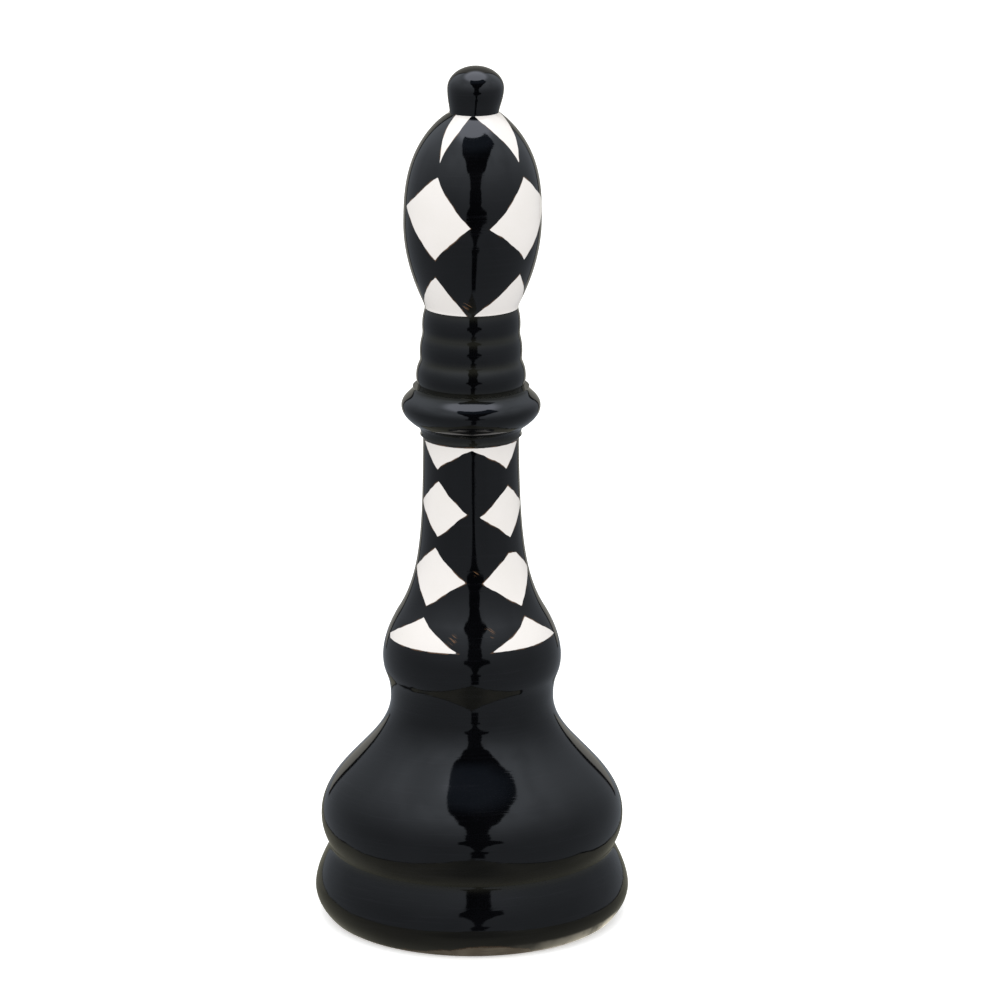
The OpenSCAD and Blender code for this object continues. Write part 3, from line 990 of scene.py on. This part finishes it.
def put_aimed(name, data, place, aim):
    """Adds a lamp or camera at a place, looking at the aim."""
    thing = bpy.data.objects.new(name, data)
    bpy.context.scene.collection.objects.link(thing)
    thing.location = place
    turn = (Vector(aim) - Vector(place)).to_track_quat("-Z", "Y")
    thing.rotation_euler = turn.to_euler()
    return thing


class BISHOP_OT_stage(Operator):
    """Sets the floor, the soft light, the surroundings that the glaze mirrors and the camera"""
    bl_idname = "bishop.stage"
    bl_label = "Stage"

    def execute(self, context):
        scene, stage = context.scene, context.scene.bishop_stage
        floor = flat_square("floor", stage.floor, -0.0002)
        floor.data.materials.append(pale_floor_finish())
        floor.visible_glossy = floor.visible_diffuse = False
        below = flat_square("mirrored_floor", stage.floor, -0.0004)
        below.data.materials.append(floor_mirror_finish(stage))
        glossy_only(below)
        wall = np.array([[stage.tent_r, -0.001], [stage.tent_r, stage.tent_top]])
        lid = np.array([[stage.tent_r * 0.5, stage.tent_top], [0.0005, stage.tent_top]])
        edge = evenly(np.array([wall[-1], lid[0]]), TENT_STEP)[1:-1]
        line = np.concatenate([evenly(wall, TENT_STEP), edge, lid])
        a = np.linspace(-math.pi, math.pi, TENT_COLUMNS + 1)[None, :-1]
        r, z = line[:, :1] + 0 * a, line[:, 1:] + 0 * a
        points = np.stack([r * np.sin(a), -r * np.cos(a), z], -1).reshape(-1, 3)
        tent = mesh_object("tent", points, quads(*z.shape, False).tolist(), 20)
        up = z + stage.tent_r - r
        add_field(tent, "gap", tent_gap(a + 0 * z, up, stage.gap))
        add_field(tent, "up", up)
        add_field(tent, "behind", np.abs(a + 0 * z) - BACKDROP)
        tent.data.materials.append(tent_finish(stage))
        glossy_only(tent)
        for name, place, size, power in (
                ("key", (-1.6, -1.7, 2.0), 1.6, 12), ("fill", (1.9, -1.3, 1.4), 1.8, 6),
                ("ceiling", (0, 0, 5), 8.0, 150)):
            lamp = bpy.data.lights.new(name, "AREA")
            lamp.shape, lamp.size, lamp.energy = "DISK", size, power
            light = put_aimed(name, lamp, place, stage.aim)
            light.visible_camera = light.visible_glossy = False
        world = bpy.data.worlds.new("studio")
        world.use_nodes = True
        back = world.node_tree.nodes["Background"]
        back.inputs["Color"].default_value = (1, 1, 1, 1)
        back.inputs["Strength"].default_value = 1.0
        scene.world = world
        world.cycles_visibility.glossy = False
        eye = put_aimed("camera", bpy.data.cameras.new("camera"), stage.eye, stage.aim)
        eye.data.sensor_width, eye.data.lens = 36, stage.lens
        eye.data.shift_x, eye.data.clip_end = stage.shift, 60
        scene.camera = eye
        scene.view_settings.view_transform = "Standard"
        return {"FINISHED"}


class BISHOP_PT_panel(Panel):
    """Lists the makers of the pieces and their sizes"""
    bl_idname = "BISHOP_PT_panel"
    bl_label = "Glazed Bishop"
    bl_space_type = "VIEW_3D"
    bl_region_type = "UI"
    bl_category = "Bishop"

    def draw(self, context):
        for maker in MAKERS:
            self.layout.operator(maker.bl_idname)
        for name, group in GROUPS.items():
            box = self.layout.box()
            box.label(text=group.__doc__)
            for prop in group.__annotations__:
                box.prop(getattr(context.scene, name), prop)


GROUPS = {"bishop_outline": BishopOutline, "bishop_walls": BishopWalls,
          "bishop_hand": BishopHand, "bishop_diamonds": BishopDiamonds,
          "bishop_colours": BishopColours, "bishop_stage": BishopStage}
MAKERS = (BISHOP_OT_stage, BISHOP_OT_foot, BISHOP_OT_black_castings, BISHOP_OT_painted_castings,
          BISHOP_OT_finial, BISHOP_OT_cement, BISHOP_OT_ballast_and_stopper)


def register():
    for kind in (*GROUPS.values(), *MAKERS, BISHOP_PT_panel):
        bpy.utils.register_class(kind)
    for name, group in GROUPS.items():
        setattr(bpy.types.Scene, name, PointerProperty(type=group))


def unregister():
    for name in GROUPS:
        delattr(bpy.types.Scene, name)
    for kind in (BISHOP_PT_panel, *MAKERS, *GROUPS.values()):
        bpy.utils.unregister_class(kind)


def main():
    """Registers the classes, and makes every piece and the stage."""
    register()
    for maker in MAKERS:
        group, name = maker.bl_idname.split(".")
        getattr(getattr(bpy.ops, group), name)()


if __name__ == "__main__":
    main()
